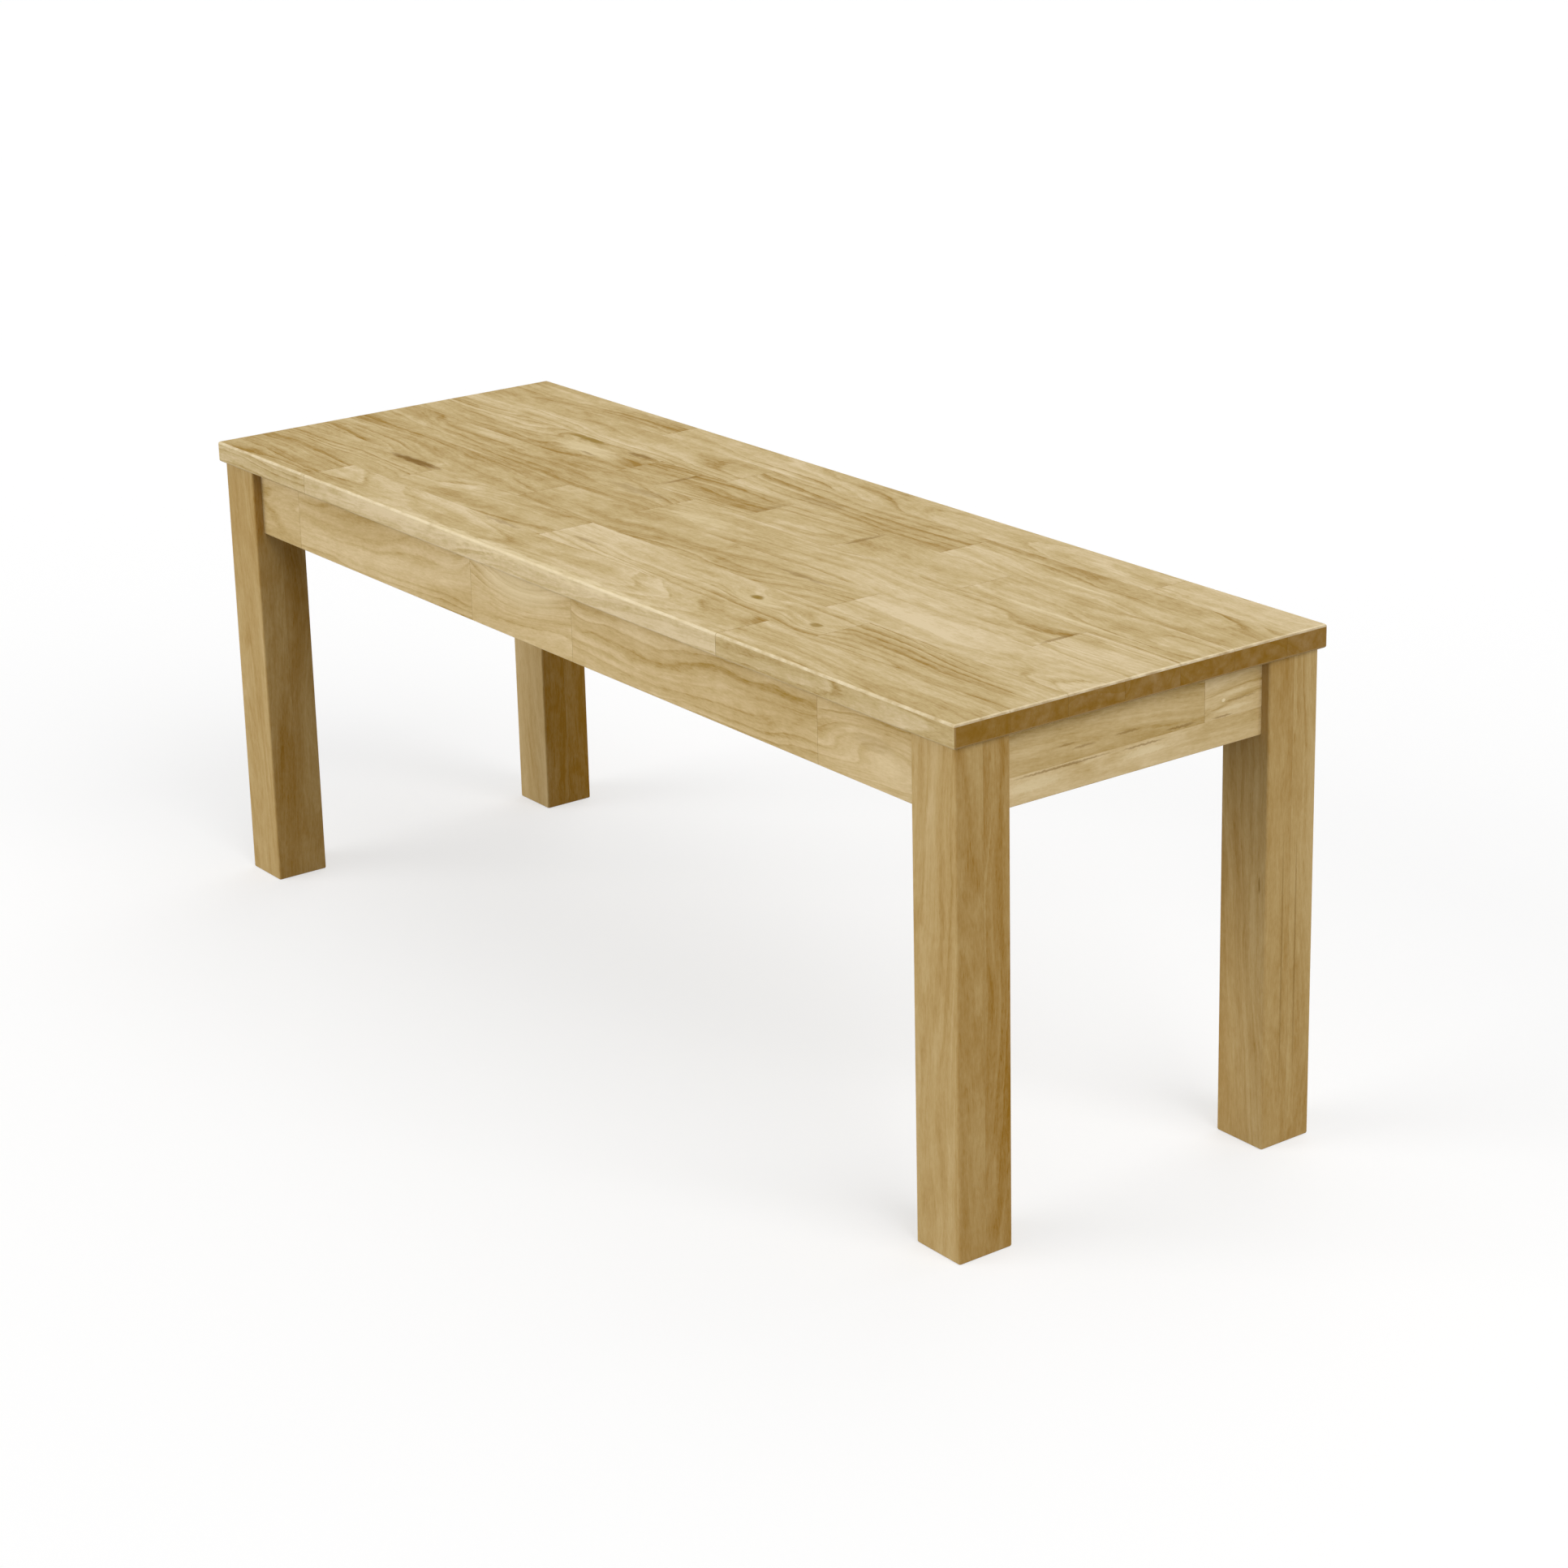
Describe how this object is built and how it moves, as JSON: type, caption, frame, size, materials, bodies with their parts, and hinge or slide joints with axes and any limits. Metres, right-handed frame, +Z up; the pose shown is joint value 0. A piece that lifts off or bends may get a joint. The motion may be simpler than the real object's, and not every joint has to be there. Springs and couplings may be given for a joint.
{
  "type": "bench",
  "caption": "Backless oak bench: a top glued up from staves on square legs, with aprons tenoned into the legs.",
  "frame": {"origin": "on the floor, under the middle of the top", "axes": "+X along the bench's length, +Y towards its rear long side, +Z up"},
  "size_m": [1.15, 0.39, 0.45],
  "materials": {
    "top_oak": "clear oiled oak staves, satin",
    "apron_oak": "clear oiled oak staves, satin",
    "leg_oak": "clear oiled oak, satin",
    "inner_oak": "planed oak, unfinished",
    "screw_steel": "zinc plated"
  },
  "bodies": {
    "root": {"apron_front_stave_1": "apron_oak", "apron_front_stave_2": "apron_oak", "apron_front_stave_3": "apron_oak", "apron_front_stave_4": "apron_oak", "apron_front_stave_5": "apron_oak", "apron_left_lower_stave": "apron_oak", "apron_left_upper_stave_front": "apron_oak", "apron_left_upper_stave_rear": "apron_oak", "apron_rear_stave_1": "apron_oak", "apron_rear_stave_2": "apron_oak", "apron_rear_stave_3": "apron_oak", "apron_rear_stave_4": "apron_oak", "apron_right_lower_stave": "apron_oak", "apron_right_upper_stave_front": "apron_oak", "apron_right_upper_stave_rear": "apron_oak", "button_front_left": "inner_oak", "button_front_right": "inner_oak", "button_left_end": "inner_oak", "button_rear_left": "inner_oak", "button_rear_right": "inner_oak", "button_right_end": "inner_oak", "button_screws": "screw_steel", "corner_block_front_left": "inner_oak", "corner_block_front_right": "inner_oak", "corner_block_rear_left": "inner_oak", "corner_block_rear_right": "inner_oak", "corner_block_screws": "screw_steel", "leg_front_left": "leg_oak", "leg_front_right": "leg_oak", "leg_rear_left": "leg_oak", "leg_rear_right": "leg_oak", "seat_bearer": "inner_oak", "seat_bearer_screws": "screw_steel", "top_row_1_stave_1": "top_oak", "top_row_1_stave_2": "top_oak", "top_row_1_stave_3": "top_oak", "top_row_2_stave_1": "top_oak", "top_row_2_stave_2": "top_oak", "top_row_2_stave_3": "top_oak", "top_row_2_stave_4": "top_oak", "top_row_3_stave_1": "top_oak", "top_row_3_stave_2": "top_oak", "top_row_3_stave_3": "top_oak", "top_row_4_stave_1": "top_oak", "top_row_4_stave_2": "top_oak", "top_row_4_stave_3": "top_oak", "top_row_5_stave_1": "top_oak", "top_row_5_stave_2": "top_oak", "top_row_5_stave_3": "top_oak", "top_row_5_stave_4": "top_oak", "top_row_5_stave_5": "top_oak", "top_row_5_stave_6": "top_oak", "top_row_6_stave_1": "top_oak", "top_row_6_stave_2": "top_oak", "top_row_6_stave_3": "top_oak", "top_row_7_stave_1": "top_oak", "top_row_7_stave_2": "top_oak", "top_row_7_stave_3": "top_oak"}
  },
  "joints": []
}
